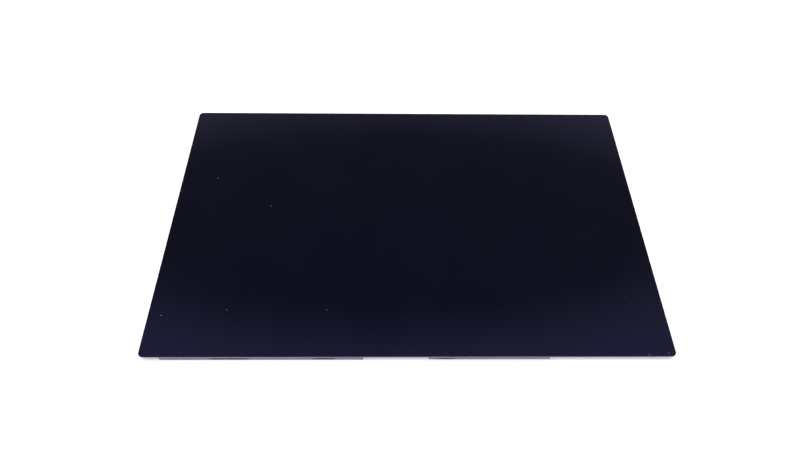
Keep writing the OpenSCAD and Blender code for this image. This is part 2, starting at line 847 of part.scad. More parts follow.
// One pressed sheet: a floor with hollow beads, and walls with windows for the hooks
module rear_cover() {
    // A wall at 45 degrees keeps the sheet's thickness when its inner face moves in by this much
    thin = cover_t * tan(22.5);
    foot = bead_w / 2 - bead_depth;
    mouth = bead_w / 2;
    near_wall_top = z_floor + near_wall_h;
    inner_side = unit_side - cover_t;
    color("silver")
        difference() {
            union() {
                round_block([-unit_side, unit_side], [unit_near, unit_far],
                    [z_cover, z_frame_top], cover_corner_r);
                beads(foot, mouth, 0, z_cover);
            }
            // Inside of the tray
            round_block([-inner_side, inner_side], [unit_near + cover_t, unit_far - cover_t],
                [z_floor, z_frame_top + past], cover_corner_r - cover_t);
            beads(foot - thin, mouth - thin, cover_t, z_floor);
            // Lower near wall, with a notch for the lamp strip's tail
            sheet(unit_side + past, [unit_near - past, frame_near + cover_corner_r],
                [near_wall_top, z_frame_top + past]);
            block([lamp_tail_x - tail_room, lamp_tail_x + tail_room],
                [unit_near - past, unit_near + cover_t + past], [z_floor, z_frame_top + past]);
            hook_places()
                hook_window();
        }
}

// Light strip along the near border: it holds both boards to the printed glass
module board_tape() {
    color("gainsboro")
        block([control_left, tape_right], [board_near, board_far - bend_clear],
            [z_print - board_tape_t, z_print]);
}

// A board with round corners and a tooling hole at each end
module board(left, length) {
    color("darkgreen")
        difference() {
            round_block([left, left + length], [board_near, board_far],
                [z_board, z_board + board_t], board_corner_r);
            for (x = [left + tooling_inset, left + length - tooling_inset])
                translate([x, part_y, z_board - past])
                    cylinder(h = board_t + 2 * past, r = tooling_hole_r);
        }
}

// A flat-topped part that hangs from a board's underside, round its middle at x
module chip(x, size) {
    block([x - size[0] / 2, x + size[0] / 2], [part_y - size[1] / 2, part_y + size[1] / 2],
        [z_board - size[2], z_board]);
}

module timing_controller() {
    color([0.15, 0.15, 0.16])
        chip(timing_x, timing_size);
}

module backlight_driver() {
    color([0.15, 0.15, 0.16])
        chip(driver_x, driver_size);
}

module power_regulator() {
    color([0.15, 0.15, 0.16])
        chip(regulator_x, regulator_size);
}

module memory_chip() {
    color([0.15, 0.15, 0.16])
        chip(memory_x, memory_size);
}

module touch_controller() {
    color([0.15, 0.15, 0.16])
        chip(touch_controller_x, touch_controller_size);
}

module touch_regulator() {
    color([0.15, 0.15, 0.16])
        chip(touch_regulator_x, touch_regulator_size);
}

// Shielded coils: a square block with the round top of its core
module control_inductors() {
    color([0.25, 0.25, 0.26])
        for (x = [output_coil_x, input_coil_x, boost_coil_x]) {
            chip(x, coil_size - [0, 0, coil_cap_h]);
            translate([x, part_y, z_board - coil_size[2]])
                cylinder(h = coil_cap_h, r = coil_cap_r);
        }
}

// Places a child at each step of a row between two ends, at a distance from the middle line
module row_places(from, to, offset, length) {
    for (i = [0 : floor((to - from - length) / capacitor_pitch)])
        translate([from + length / 2 + i * capacitor_pitch, part_y + offset, z_board])
            children();
}

module capacitor_body() {
    half = capacitor_size[0] / 2 - terminal_l;
    depth = capacitor_size[1] / 2 - terminal_lap;
    block([-half, half], [-depth, depth], [terminal_lap - capacitor_size[2], -terminal_lap]);
}

module capacitor_terminals() {
    half = capacitor_size[0] / 2;
    depth = capacitor_size[1] / 2;
    for (side = [0, 1])
        mirror([side, 0, 0])
            block([half - terminal_l, half], [-depth, depth], [-capacitor_size[2], 0]);
}

module control_capacitors() {
    color("tan")
        for (row = control_rows)
            row_places(row[0], row[1], row[2] * row_offset, capacitor_size[0])
                capacitor_body();
}

module control_terminals() {
    color("lightgray")
        for (row = control_rows)
            row_places(row[0], row[1], row[2] * row_offset, capacitor_size[0])
                capacitor_terminals();
}

module touch_capacitors() {
    color("tan")
        for (row = touch_rows)
            row_places(row[0], row[1], row[2] * row_offset, capacitor_size[0])
                capacitor_body();
}

module touch_terminals() {
    color("lightgray")
        for (row = touch_rows)
            row_places(row[0], row[1], row[2] * row_offset, capacitor_size[0])
                capacitor_terminals();
}

// Gilded pads that the boards are tested on
module test_pads() {
    color("gold")
        for (row = pad_rows)
            row_places(row[0], row[1], 0, 2 * pad_r)
                translate([0, 0, -pad_t])
                    cylinder(h = pad_t, r = pad_r);
}

// Contacts of a socket: a blade under the mouth's roof and a foot on the board behind the body
module contacts(x, count, pitch) {
    roof = z_board - socket_roof;
    far = board_near + socket_d;
    color("gold")
        for (i = [0 : count - 1]) {
            middle = x + (i - (count - 1) / 2) * pitch;
            span = [middle - contact_w / 2, middle + contact_w / 2];
            block(span, [board_near + socket_lead, far + contact_t], [roof - contact_t, roof]);
            block(span, [far, far + contact_t], [roof - contact_t, z_board]);
            block(span, [far, far + contact_foot], [z_board - contact_t, z_board]);
        }
}

// Body of a socket, with a mouth that opens towards the near edge
module socket(x, count, pitch) {
    half = socket_w(count, pitch) / 2;
    mouth = half - socket_cheek / 2;
    color([0.12, 0.12, 0.12])
        difference() {
            block([x - half, x + half], [board_near, board_near + socket_d],
                [z_board - socket_h, z_board]);
            block([x - mouth, x + mouth], [board_near - past, board_near + mouth_depth],
                [z_board - socket_roof - mouth_h, z_board - socket_roof]);
            contacts(x, count, pitch);
        }
}

module display_socket() {
    socket(display_socket_x, display_contacts, display_contact_pitch);
}

module display_socket_contacts() {
    contacts(display_socket_x, display_contacts, display_contact_pitch);
}

module link_socket() {
    socket(link_socket_x, link_contacts, contact_pitch);
}

module link_socket_contacts() {
    contacts(link_socket_x, link_contacts, contact_pitch);
}

module touch_socket() {
    socket(touch_socket_x, touch_contacts, contact_pitch);
}

module touch_socket_contacts() {
    contacts(touch_socket_x, touch_contacts, contact_pitch);
}

// Thin steel shell over the display socket, with its feet on the board
module display_socket_shell() {
    half = display_half;
    span = [board_near + shell_inset, board_near + socket_d - shell_inset];
    color("silver") {
        block([display_socket_x - half - shell_t, display_socket_x + half + shell_t], span,
            [z_board - socket_h - shell_t, z_board - socket_h]);
        for (side = [0, 1])
            translate([display_socket_x, 0, 0])
                mirror([side, 0, 0]) {
                    block([half, half + shell_t], span, [z_board - socket_h, z_board]);
                    block([half, half + shell_foot], [span[0] + shell_foot, span[0] + 2 * shell_foot],
                        [z_board - shell_t, z_board]);
                }
    }
}

// Section of a board's shield: up the board's near edge, under the parts, then on to lie on the
// rear cover
module shield_section(drop) {
    t = shield_t;
    low = z_board - drop;
    top = z_board + board_t;
    end = unit_near + shield_flap;
    polygon([[board_near - t, top], [board_near - t, low - t], [board_far, low - t],
        [unit_near, z_cover - t], [end, z_cover - t], [end, z_cover], [unit_near, z_cover],
        [board_far, low], [board_near, low], [board_near, top]]);
}

// A shield over one board, folded up at both ends, with windows under its parts and at the mouths
// of its sockets
module shield(left, length, drop, windows, mouths) {
    rim = 1;
    low = z_board - drop;
    color([0.72, 0.72, 0.76])
        difference() {
            union() {
                along_x([left, left + length])
                    shield_section(drop);
                for (end = [left, left + length - shield_t])
                    block([end, end + shield_t], [board_near - shield_t, board_far],
                        [low - shield_t, z_board]);
            }
            for (span = windows)
                block(span, [board_near + rim, board_far - rim],
                    [low - shield_t - past, low + past]);
            for (span = mouths)
                block(span, [board_near - shield_t - past, board_near + past],
                    [z_board - socket_h, z_board]);
        }
}

module control_shield() {
    shield(control_left, control_board_w, control_shield_drop, control_windows,
        [[display_socket_x - display_half, display_socket_x + display_half],
            [link_left, link_right]]);
}

module touch_shield() {
    shield(touch_board_left, touch_board_w, touch_shield_drop, touch_windows,
        [[touch_socket_x - touch_half, touch_socket_right]]);
}

module panel_flex_left() {
    panel_flex(panel_flex_x);
}

module panel_flex_right() {
    panel_flex(panel_flex_x + panel_flex_pitch);
}

module touch_flex_left() {
    touch_flex(touch_flex_x - touch_flex_pitch);
}

module touch_flex_middle() {
    touch_flex(touch_flex_x);
}

module touch_flex_right() {
    touch_flex(touch_flex_x + touch_flex_pitch);
}

module control_board() {
    board(control_left, control_board_w);
}

module touch_board() {
    board(touch_board_left, touch_board_w);
}

cover_glass();
border_print();
lens_adhesive();
touch_sensor();
panel_adhesive();
front_polarizer();
filter_glass();
array_glass();
rear_polarizer();
driver_chips();
panel_flex_left();
panel_flex_right();
rim_tape();
edge_tape();
mould_frame();
upper_prism_sheet();
lower_prism_sheet();
diffuser_sheet();
light_guide();
reflector_sheet();
lamp_strip();
lamp_housings();
lamp_windows();
rear_cover();
board_tape();
control_board();
timing_controller();
backlight_driver();
power_regulator();
memory_chip();
control_inductors();
control_capacitors();
control_terminals();
test_pads();
display_socket();
display_socket_shell();
display_socket_contacts();
link_socket();
link_socket_contacts();
control_shield();
touch_board();
touch_controller();
touch_regulator();
touch_capacitors();
touch_terminals();
touch_socket();
touch_socket_contacts();
touch_flex_left();
touch_flex_middle();
touch_flex_right();
touch_shield();
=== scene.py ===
"""A touch display module, lying face up on a white table under soft light.

The solids come from the frame. Each sub-assembly below gives its solids the finish of the real
piece and adds the small things that only show from near by. The last classes set up the table,
the light and the camera. Lengths in the classes are millimetres, and to_m turns them into metres.
"""

import logging
import math
import random
from collections import Counter
from collections.abc import Sequence
from dataclasses import dataclass, field
from enum import Enum

import bmesh
import bpy
from mathutils import Euler, Matrix, Vector


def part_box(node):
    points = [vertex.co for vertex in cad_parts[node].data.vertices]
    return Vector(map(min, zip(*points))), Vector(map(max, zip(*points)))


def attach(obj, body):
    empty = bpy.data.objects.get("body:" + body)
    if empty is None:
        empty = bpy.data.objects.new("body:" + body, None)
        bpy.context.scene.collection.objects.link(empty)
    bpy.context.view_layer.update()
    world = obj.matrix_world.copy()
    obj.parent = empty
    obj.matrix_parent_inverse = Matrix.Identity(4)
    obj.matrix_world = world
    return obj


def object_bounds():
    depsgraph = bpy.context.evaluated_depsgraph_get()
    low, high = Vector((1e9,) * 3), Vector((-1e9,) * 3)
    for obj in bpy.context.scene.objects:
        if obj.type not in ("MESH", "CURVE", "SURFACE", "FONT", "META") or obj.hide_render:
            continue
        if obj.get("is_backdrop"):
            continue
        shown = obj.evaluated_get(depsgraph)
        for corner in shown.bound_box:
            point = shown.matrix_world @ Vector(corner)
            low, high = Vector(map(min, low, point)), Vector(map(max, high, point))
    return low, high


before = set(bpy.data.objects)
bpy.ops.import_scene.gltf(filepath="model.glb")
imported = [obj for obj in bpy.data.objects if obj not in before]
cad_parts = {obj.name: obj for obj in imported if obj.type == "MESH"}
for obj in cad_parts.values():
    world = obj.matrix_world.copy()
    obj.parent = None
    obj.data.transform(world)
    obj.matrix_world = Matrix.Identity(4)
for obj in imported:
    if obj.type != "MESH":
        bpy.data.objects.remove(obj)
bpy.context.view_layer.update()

LOG = logging.getLogger("display_module")
Tree = bpy.types.NodeTree
Socket = bpy.types.NodeSocket
Work = bmesh.types.BMesh
Triple = tuple[float, float, float]
Colour = tuple[float, float, float, float]
Box = tuple[Vector, Vector]
WHITE: Colour = (1.0, 1.0, 1.0, 1.0)
BLACK: Colour = (0.0, 0.0, 0.0, 1.0)
# Noise seldom leaves the range from the first to the last of these, so it is stretched from it
NOISE_LOW, NOISE_MIDDLE, NOISE_HIGH = 0.3, 0.5, 0.7
# How many finer layers of noise each kind of soft variation has
BROAD_LAYERS, GRAIN_LAYERS, ROLLED_LAYERS, SMEAR_LAYERS = 3.0, 2.0, 4.0, 2.0
FOLD_LAYERS, ZONE_LAYERS = 1.0, 0.0
# How many times a blotch and a rolled line are stretched along each axis
EVEN: Triple = (1.0, 1.0, 1.0)
ROLLED_STRETCH: Triple = (120.0, 1.0, 1.0)
# The short folds of foil, as shares of the long folds' spacing and height, and how far from
# the middle of the noise the slope of a fold ends
SHORT_FOLD_SIZE, SHORT_FOLD_HEIGHT, FOLD_SLOPE = 0.4, 0.3, 0.05
# Tracks run along X where the noise is above the first, and along Y where it is below the second
LENGTHWISE_ABOVE, CROSSWISE_BELOW = 0.52, 0.44
# A face is level if at least this share of its normal points up or down
LEVEL_SHARE = 0.9
# No blotch makes a face glossier than this
LEAST_ROUGHNESS = 0.02
# Corners closer than this are one: in millimetres on a solid, in units on a shape of one unit
WELD, UNIT_WELD = 0.0001, 0.001


def to_m(length_mm: float) -> float:
    """Turns millimetres into metres."""
    return length_mm * 0.001


def to_mm(length_m: float) -> float:
    """Turns metres into millimetres."""
    return length_m / to_m(1.0)


def linear(hex_colour: str) -> Colour:
    """Turns an sRGB hex colour into the linear one that a shader takes, by sRGB's own curve.

    Args:
        hex_colour: Six hex digits, such as "1a1c2b".

    Returns:
        Linear red, green and blue, with an alpha of 1.
    """
    parts = [int(hex_colour[i : i + 2], 16) / 255 for i in (0, 2, 4)]
    bent = [p / 12.92 if p <= 0.04045 else ((p + 0.055) / 1.055) ** 2.4 for p in parts]
    return (bent[0], bent[1], bent[2], 1.0)


def bare_tree(owner: bpy.types.Material | bpy.types.World) -> Tree:
    """Turns on the nodes of a material or a world, and clears them."""
    owner.use_nodes = True
    owner.node_tree.nodes.clear()
    return owner.node_tree


def add_node(
    tree: Tree,
    kind: str,
    settings: dict[str, str | bool] | None = None,
    give: str = "",
    **links: Socket | float | Sequence[float],
) -> Socket | None:
    """Adds a node to a tree, with its settings and its inputs.

    Args:
        tree: The tree to add to.
        kind: Blender's name for the kind of node, without "ShaderNode".
        settings: Attributes to set on the node before its inputs.
        give: The name of the output to return, or "" for the first one in use.
        **links: What goes into each input, an output to link or a plain value. An input is
            named in lower case with "_" for a space, and the second of one name ends in "_2".

    Returns:
        The output, or None on a node that has none.
    """
    node = tree.nodes.new("ShaderNode" + kind)
    for name, value in (settings or {}).items():
        setattr(node, name, value)
    named: dict[str, Socket] = {}
    used: Counter[str] = Counter()
    for socket in node.inputs:
        if socket.enabled:
            name = socket.name.lower().replace(" ", "_")
            used[name] += 1
            named[name if used[name] == 1 else f"{name}_{used[name]}"] = socket
    for name, value in links.items():
        if isinstance(value, Socket):
            tree.links.new(value, named[name])
        else:
            named[name].default_value = value
    wanted = [s for s in node.outputs if s.enabled and give in ("", s.name)]
    return wanted[0] if wanted else None


class Pattern(Enum):
    """What the surface of a finish does at close range."""

    GRAIN = "even grain of the material"
    ROLLED = "long lines from the rolling mill, along X"
    LINES_X = "fine lines side by side along X, each running along Y"
    CREASED = "thin foil with a few wandering creases"
    TRACKS = "copper tracks under a solder mask"
    DOTS = "printed dots on a square grid"


@dataclass(frozen=True)
class Finish:
    """A surface, by what it is made of and how it was made.

    Colours are sRGB hex values and sizes are millimetres. Where the real pattern is too fine
    to show in a render, the size is as coarse as it needs to show.
    """

    name: str
    colour: str
    roughness: float
    # The colour that the pattern brings in, or "" for none
    second: str = ""
    metallic: float = 0.0
    ior: float = 1.5
    specular: float = 0.5
    # Colour of a head-on reflection
    tint: str = "ffffff"
    coat: float = 0.0
    alpha: float = 1.0
    pattern: Pattern = Pattern.GRAIN
    # Spacing of the pattern, and the share of each spacing that it marks
    size: float = 0.5
    share: float = 0.25
    # Height of the pattern
    relief: float = 0.0
    # Width of the broad blotches, and how far they move the gloss and the brightness
    mottle: float = 12.0
    gloss_spread: float = 0.06
    drift: float = 0.06
    # What a cut or ground edge looks like, where it differs from the faces
    edge_colour: str = ""
    edge_roughness: float = 0.5
    # Width of the areas in which tracks run the same way
    run: float = 7.0

    def build(self) -> bpy.types.Material:
        """Makes the material.

        Returns:
            A material with one Principled shader, driven by the finish's pattern.
        """
        material = bpy.data.materials.new(self.name)
        tree = bare_tree(material)
        place = add_node(tree, "TexCoord", give="Object")
        mark = self.mark(tree, place)
        cloud = self.blotches(tree, place, self.mottle, BROAD_LAYERS)
        colour = self.shade(tree, mark, cloud)
        rough = self.gloss(tree, place, cloud)
        if self.edge_colour:
            edge = self.cut_edge(tree)
            colour = add_node(
                tree, "Mix", {"data_type": "RGBA"},
                factor=edge, a=colour, b=linear(self.edge_colour),
            )
            rough = add_node(tree, "Mix", factor=edge, a=rough, b=self.edge_roughness)
        links = {
            "base_color": colour,
            "roughness": rough,
            "metallic": self.metallic,
            "coat_weight": self.coat,
            "alpha": self.alpha,
        }
        if self.metallic < 1.0:
            links["ior"] = self.ior
            links["specular_ior_level"] = self.specular
            links["specular_tint"] = linear(self.tint)
        if self.relief:
            links["normal"] = add_node(
                tree, "Bump", height=mark, distance=to_m(self.relief), strength=1.0
            )
        shader = add_node(tree, "BsdfPrincipled", **links)
        add_node(tree, "OutputMaterial", surface=shader)
        return material

    def blotches(
        self, tree: Tree, place: Socket, size: float, detail: float, stretch: Triple = EVEN
    ) -> Socket:
        """Adds soft, random variation.

        Args:
            tree: The node tree.
            place: The coordinates to read.
            size: The width of a blotch.
            detail: How many finer layers there are.
            stretch: How many times longer a blotch is along each axis.

        Returns:
            The strength, from 0 to 1.
        """
        scale = [1.0 / (to_m(size) * s) for s in stretch]
        mapped = add_node(tree, "Mapping", vector=place, scale=scale)
        return add_node(tree, "TexNoise", give="Fac", vector=mapped, scale=1.0, detail=detail)

    def cut_edge(self, tree: Tree) -> Socket:
        """Finds the edges of a flat piece, whose faces lie level.

        Args:
            tree: The node tree.

        Returns:
            A value that is 1 on the edges and 0 on the faces.
        """
        facing = add_node(tree, "TexCoord", give="Normal")
        upward = add_node(tree, "SeparateXYZ", give="Z", vector=facing)
        level = add_node(tree, "Math", {"operation": "ABSOLUTE"}, value=upward)
        return add_node(
            tree, "Math", {"operation": "LESS_THAN"}, value=level, value_2=LEVEL_SHARE
        )

    def stripes(self, tree: Tree, along: Socket) -> Socket:
        """Marks the finish's share of each spacing along an axis.

        Args:
            tree: The node tree.
            along: Distance along the axis, counted in spacings.

        Returns:
            A value that is 1 on a stripe and 0 beside it.
        """
        part = add_node(tree, "Math", {"operation": "FRACT"}, value=along)
        return add_node(
            tree, "Math", {"operation": "LESS_THAN"}, value=part, value_2=self.share
        )

    def mark(self, tree: Tree, place: Socket) -> Socket:
        """Adds the finish's own pattern.

        Args:
            tree: The node tree.
            place: The coordinates to read.

        Returns:
            The pattern's strength, from 0 to 1.
        """
        if self.pattern is Pattern.GRAIN:
            return self.blotches(tree, place, self.size, GRAIN_LAYERS)
        if self.pattern is Pattern.ROLLED:
            return self.blotches(tree, place, self.size, ROLLED_LAYERS, ROLLED_STRETCH)
        if self.pattern is Pattern.CREASED:
            long_fold = self.folds(tree, place, self.size)
            short_fold = self.folds(tree, place, self.size * SHORT_FOLD_SIZE)
            return add_node(
                tree, "Math", {"operation": "MULTIPLY_ADD"},
                value=short_fold, value_2=SHORT_FOLD_HEIGHT, value_3=long_fold,
            )
        grid = add_node(tree, "Mapping", vector=place, scale=[1.0 / to_m(self.size)] * 3)
        if self.pattern is Pattern.DOTS:
            off = add_node(tree, "TexVoronoi", vector=grid, scale=1.0, randomness=0.0)
            return add_node(
                tree, "Math", {"operation": "LESS_THAN"}, value=off, value_2=self.share
            )
        along_x = add_node(tree, "SeparateXYZ", give="X", vector=grid)
        if self.pattern is Pattern.LINES_X:
            return self.stripes(tree, along_x)
        along_y = add_node(tree, "SeparateXYZ", give="Y", vector=grid)
        return self.tracks(tree, place, along_x, along_y)

    def folds(self, tree: Tree, place: Socket, size: float) -> Socket:
        """Adds thin, wandering folds where soft variation passes its middle value.

        Args:
            tree: The node tree.
            place: The coordinates to read.
            size: The distance between folds.

        Returns:
            The height, 0 in a fold and 1 away from it.
        """
        soft = self.blotches(tree, place, size, FOLD_LAYERS)
        off = add_node(
            tree, "Math", {"operation": "SUBTRACT"}, value=soft, value_2=NOISE_MIDDLE
        )
        away = add_node(tree, "Math", {"operation": "ABSOLUTE"}, value=off)
        return add_node(
            tree, "MapRange", {"interpolation_type": "SMOOTHSTEP"},
            value=away, from_min=0.0, from_max=FOLD_SLOPE,
        )

    def tracks(self, tree: Tree, place: Socket, along_x: Socket, along_y: Socket) -> Socket:
        """Adds runs of parallel tracks, some along X, others along Y, with bare areas between.

        Args:
            tree: The node tree.
            place: The coordinates to read.
            along_x: Distance along X, counted in spacings.
            along_y: Distance along Y, counted in spacings.

        Returns:
            A value that is 1 on a track and 0 beside it.
        """
        zone = self.blotches(tree, place, self.run, ZONE_LAYERS)
        runs = []
        for test, limit, along in (
            ("GREATER_THAN", LENGTHWISE_ABOVE, along_y),
            ("LESS_THAN", CROSSWISE_BELOW, along_x),
        ):
            here = add_node(tree, "Math", {"operation": test}, value=zone, value_2=limit)
            lines = self.stripes(tree, along)
            runs.append(
                add_node(tree, "Math", {"operation": "MULTIPLY"}, value=here, value_2=lines)
            )
        return add_node(tree, "Math", {"operation": "MAXIMUM"}, value=runs[0], value_2=runs[1])

    def shade(self, tree: Tree, mark: Socket, cloud: Socket) -> Socket:
        """Mixes the finish's colours by its pattern, with a slight drift over wide areas.

        Args:
            tree: The node tree.
            mark: The pattern's strength.
            cloud: The broad variation.

        Returns:
            The colour of the faces.
        """
        mixed = add_node(
            tree, "Mix", {"data_type": "RGBA"},
            factor=mark, a=linear(self.colour), b=linear(self.second or self.colour),
        )
        drift = add_node(
            tree, "MapRange", value=cloud, from_min=NOISE_LOW, from_max=NOISE_HIGH,
            to_min=1.0 - self.drift, to_max=1.0 + self.drift,
        )
        return add_node(tree, "HueSaturation", color=mixed, value=drift)

    def gloss(self, tree: Tree, place: Socket, cloud: Socket) -> Socket:
        """Lets the gloss of the faces vary a little over wide areas.

        Args:
            tree: The node tree.
            place: The coordinates, for finishes that read them here.
            cloud: The broad variation.

        Returns:
            The roughness of the faces.
        """
        return add_node(
            tree, "MapRange", value=cloud, from_min=NOISE_LOW, from_max=NOISE_HIGH,
            to_min=max(LEAST_ROUGHNESS, self.roughness - self.gloss_spread),
            to_max=min(1.0, self.roughness + self.gloss_spread),
        )


@dataclass(frozen=True)
class TouchGlass(Finish):
    """Cover glass over a panel that is switched off, with a few broad, faint finger marks."""

    # Width of a finger mark, how much longer than wide it is, and the noise at which it begins
    # and is full
    smear: float = 55.0
    smear_stretch: float = 1.7
    smear_from: float = 0.45
    smear_to: float = 0.75

    def gloss(self, tree: Tree, place: Socket, cloud: Socket) -> Socket:
        """Widens the reflection where a finger mark lies.

        Args:
            tree: The node tree.
            place: The coordinates to read.
            cloud: The broad variation, which has no part in this.

        Returns:
            The roughness of the faces.
        """
        stretch = (1.0, self.smear_stretch, 1.0)
        broad = self.blotches(tree, place, self.smear, SMEAR_LAYERS, stretch)
        return add_node(
            tree, "MapRange", {"interpolation_type": "SMOOTHSTEP"},
            value=broad, from_min=self.smear_from, from_max=self.smear_to,
            to_min=self.roughness, to_max=self.roughness + self.gloss_spread,
        )


# Aluminosilicate touch glass, drawn, toughened and coated: near black because the panel and the
# ink under it are, with a weak blue-violet reflection from the coating and a ground, dull edge.
GLASS = TouchGlass(
    "coated_touch_glass", "010103", 0.03, second="060609", ior=1.51, specular=0.378,
    tint="999bff", size=38.0, mottle=70.0, gloss_spread=0.07, edge_colour="1b1926",
    edge_roughness=0.42,
)
# Ink that is screen printed in two coats: dense and almost matt from behind.
INK = Finish(
    "screen_printed_ink", "0b0b0e", 0.42, second="15151a", size=0.35, mottle=25.0, relief=0.004,
)
# Acrylic optical adhesive: water clear, soft edge.
ADHESIVE = Finish(
    "clear_acrylic_adhesive", "d5d8da", 0.16, second="c9cdd1", ior=1.47, size=3.0, alpha=0.55,
)
# Sensor film: polyester sheet with a clear conductive coat, a little blue at its cut edge.
SENSOR = Finish(
    "coated_polyester_film", "8f9ba8", 0.14, second="9aa7b4", ior=1.58, size=4.0, alpha=0.7,
)
# Polarizer: dyed, stretched film between clear sheets, neutral dark grey.
POLARIZER = Finish("stretched_polarizer_film", "17181c", 0.2, second="1c1d22", ior=1.49, size=6.0)
# Panel glass: thin, polished display glass, with a scribed edge that is dull and grey green.
PANEL = Finish(
    "scribed_panel_glass", "4e5b5c", 0.12, second="5b6a6b", ior=1.52, size=1.2, gloss_spread=0.08,
    edge_colour="66756f", edge_roughness=0.45,
)
# Bare silicon die: polished mirror back with a blue tone.
SILICON = Finish(
    "polished_silicon", "41454f", 0.12, second="4a4f5a", metallic=0.6, size=2.5, mottle=9.0,
)
# Flexible circuit: amber polyimide over etched copper lines, 0.5 mm apart.
FLEX = Finish(
    "polyimide_flex", "a3641a", 0.26, second="c98a3c", ior=1.7, pattern=Pattern.LINES_X, size=0.5,
    share=0.5, relief=0.012, coat=0.25,
)
# Black polyester tape: matt with a fine, even tooth.
BLACK_TAPE = Finish(
    "black_polyester_tape", "131315", 0.48, second="1b1b1e", ior=1.58, size=0.3, relief=0.005,
)
# Moulded polycarbonate with white filler, satin from the mould.
FRAME_PLASTIC = Finish(
    "moulded_polycarbonate", "d3d3cf", 0.38, second="dcdcd8", ior=1.59, size=0.6, relief=0.003,
)
# Prism film: ribs far finer than 0.4 mm on the real sheet, coarse enough here to show.
PRISM = Finish(
    "ribbed_prism_film", "c9cdd2", 0.22, second="dfe3e8", ior=1.49, pattern=Pattern.LINES_X,
    size=0.4, share=0.5, relief=0.01,
)
# Diffuser: polyester sheet coated with beads, an even frost.
DIFFUSER = Finish(
    "beaded_diffuser_film", "e0e1e2", 0.6, second="e9eaeb", ior=1.58, size=0.25, relief=0.004,
)
# Light guide: polished acrylic with white dots printed 1.2 mm apart.
GUIDE = Finish(
    "dotted_acrylic_guide", "bfd0d6", 0.1, second="f2f5f6", ior=1.49, pattern=Pattern.DOTS,
    size=1.2, share=0.22, alpha=0.8,
)
# Reflector: foamed white polyester, bright and smooth.
REFLECTOR = Finish("foamed_polyester", "e6e7e6", 0.34, second="eeefee", ior=1.58, size=0.8)
# Lamp strip: polyimide under white solder mask with tracks that show faintly.
LAMP_STRIP = Finish(
    "white_masked_flex", "d9d6c6", 0.4, second="cfcab6", ior=1.55, pattern=Pattern.TRACKS,
    size=0.9, share=0.4, relief=0.01,
)
# Lamp bodies: white moulded polyamide.
LAMP_BODY = Finish(
    "white_lamp_moulding", "e3e2dc", 0.42, second="ecebe6", ior=1.53, size=0.2, relief=0.003,
)
# Lamp windows: yellow phosphor in silicone.
PHOSPHOR = Finish(
    "phosphor_silicone", "d9a514", 0.45, second="e6b52b", ior=1.41, size=0.15, relief=0.006,
)
# Rear tray: cold rolled aluminium sheet, pressed, with the mill's lines along it.
ROLLED_SHEET = Finish(
    "rolled_aluminium_sheet", "a9abb0", 0.36, second="b0b3b7", metallic=1.0,
    pattern=Pattern.ROLLED, size=0.35, mottle=60.0, relief=0.003, gloss_spread=0.03, drift=0.015,
)
# Foam tape: pale grey-lilac acrylic foam with a sheen.
FOAM_TAPE = Finish(
    "acrylic_foam_tape", "8c8aa0", 0.5, second="9a98ac", ior=1.48, size=0.4, relief=0.01,
)
# Board: glass fibre laminate with green solder mask over copper tracks, and a bare, straw
# coloured edge where it was routed out of its sheet.
BOARD = Finish(
    "green_solder_mask", "0d3f22", 0.3, second="1a6236", ior=1.55, pattern=Pattern.TRACKS,
    size=0.62, share=0.42, relief=0.02, coat=0.3, mottle=8.0, edge_colour="8e8a55",
    edge_roughness=0.65,
)
# White ink, screen printed on the board: opaque and a little chalky.
PRINT_INK = Finish("printed_white_ink", "d9dad3", 0.55, second="cccdc6", size=0.2)
# Chip package: black epoxy filled with silica, finely pitted by the mould.
EPOXY = Finish(
    "moulded_chip_epoxy", "1b1b1d", 0.55, second="2a2a2d", ior=1.55, size=0.12, relief=0.008,
)
# Coil: pressed ferrite powder, dark grey with specks.
FERRITE = Finish(
    "pressed_ferrite", "2b2c2f", 0.6, second="434449", ior=1.6, size=0.1, relief=0.012,
)
# Capacitor: fired ceramic, tan and slightly glossy.
CERAMIC = Finish("fired_capacitor_ceramic", "8c6a4a", 0.36, second="9b7958", ior=1.8, size=0.2)
# Tin: plated ends, bright with soft flow.
TIN = Finish(
    "tin_plate", "c4c4c0", 0.28, second="d2d2ce", metallic=1.0, size=0.25, mottle=2.0,
    relief=0.006,
)
# Solder: reflowed tin and silver, smooth and a little greyer than the plate.
SOLDER = Finish(
    "reflowed_solder", "adaeac", 0.3, second="bcbdba", metallic=1.0, size=0.2, mottle=1.5,
)
# Gold: thin plate over nickel on contacts and pads.
GOLD = Finish("gold_plate", "d9aa52", 0.24, second="e3b866", metallic=1.0, size=0.4, mottle=3.0)
# Socket: black liquid-crystal polymer, with flow lines from the mould.
SOCKET = Finish(
    "moulded_socket_polymer", "34343c", 0.44, second="414149", ior=1.6, pattern=Pattern.ROLLED,
    size=0.08, relief=0.004,
)
# Shell: stamped stainless steel with nickel plate.
SHELL = Finish(
    "stamped_steel_shell", "a9a9aa", 0.26, second="b9b9ba", metallic=1.0, pattern=Pattern.ROLLED,
    size=0.06, relief=0.002,
)
# Shield: aluminium foil, creased where it was pressed down by hand. Its grey is the foil's own
# grey, painted darker and lilac as painted shade for its face under the glass's near edge.
FOIL_PAINTED_SHADE = Finish(
    "creased_foil_shield", "5e5b71", 0.34, second="646178", metallic=0.6, specular=0.4,
    pattern=Pattern.CREASED, size=14.0, relief=0.05, gloss_spread=0.05, drift=0.04,
)
# Lint: pale cotton dust.
LINT = Finish("cotton_lint", "6f6f7c", 0.9, second="8c8c98", ior=1.55, size=0.15)


def to_mesh(name: str, made: Work) -> bpy.types.Mesh:
    """Turns a finished bmesh into a mesh of that name, and frees it."""
    mesh = bpy.data.meshes.new(name)
    made.to_mesh(mesh)
    made.free()
    return mesh


def show(name: str, data: bpy.types.ID) -> bpy.types.Object:
    """Puts a mesh, a lamp or a camera into the scene under a name."""
    shown = bpy.data.objects.new(name, data)
    bpy.context.scene.collection.objects.link(shown)
    return shown


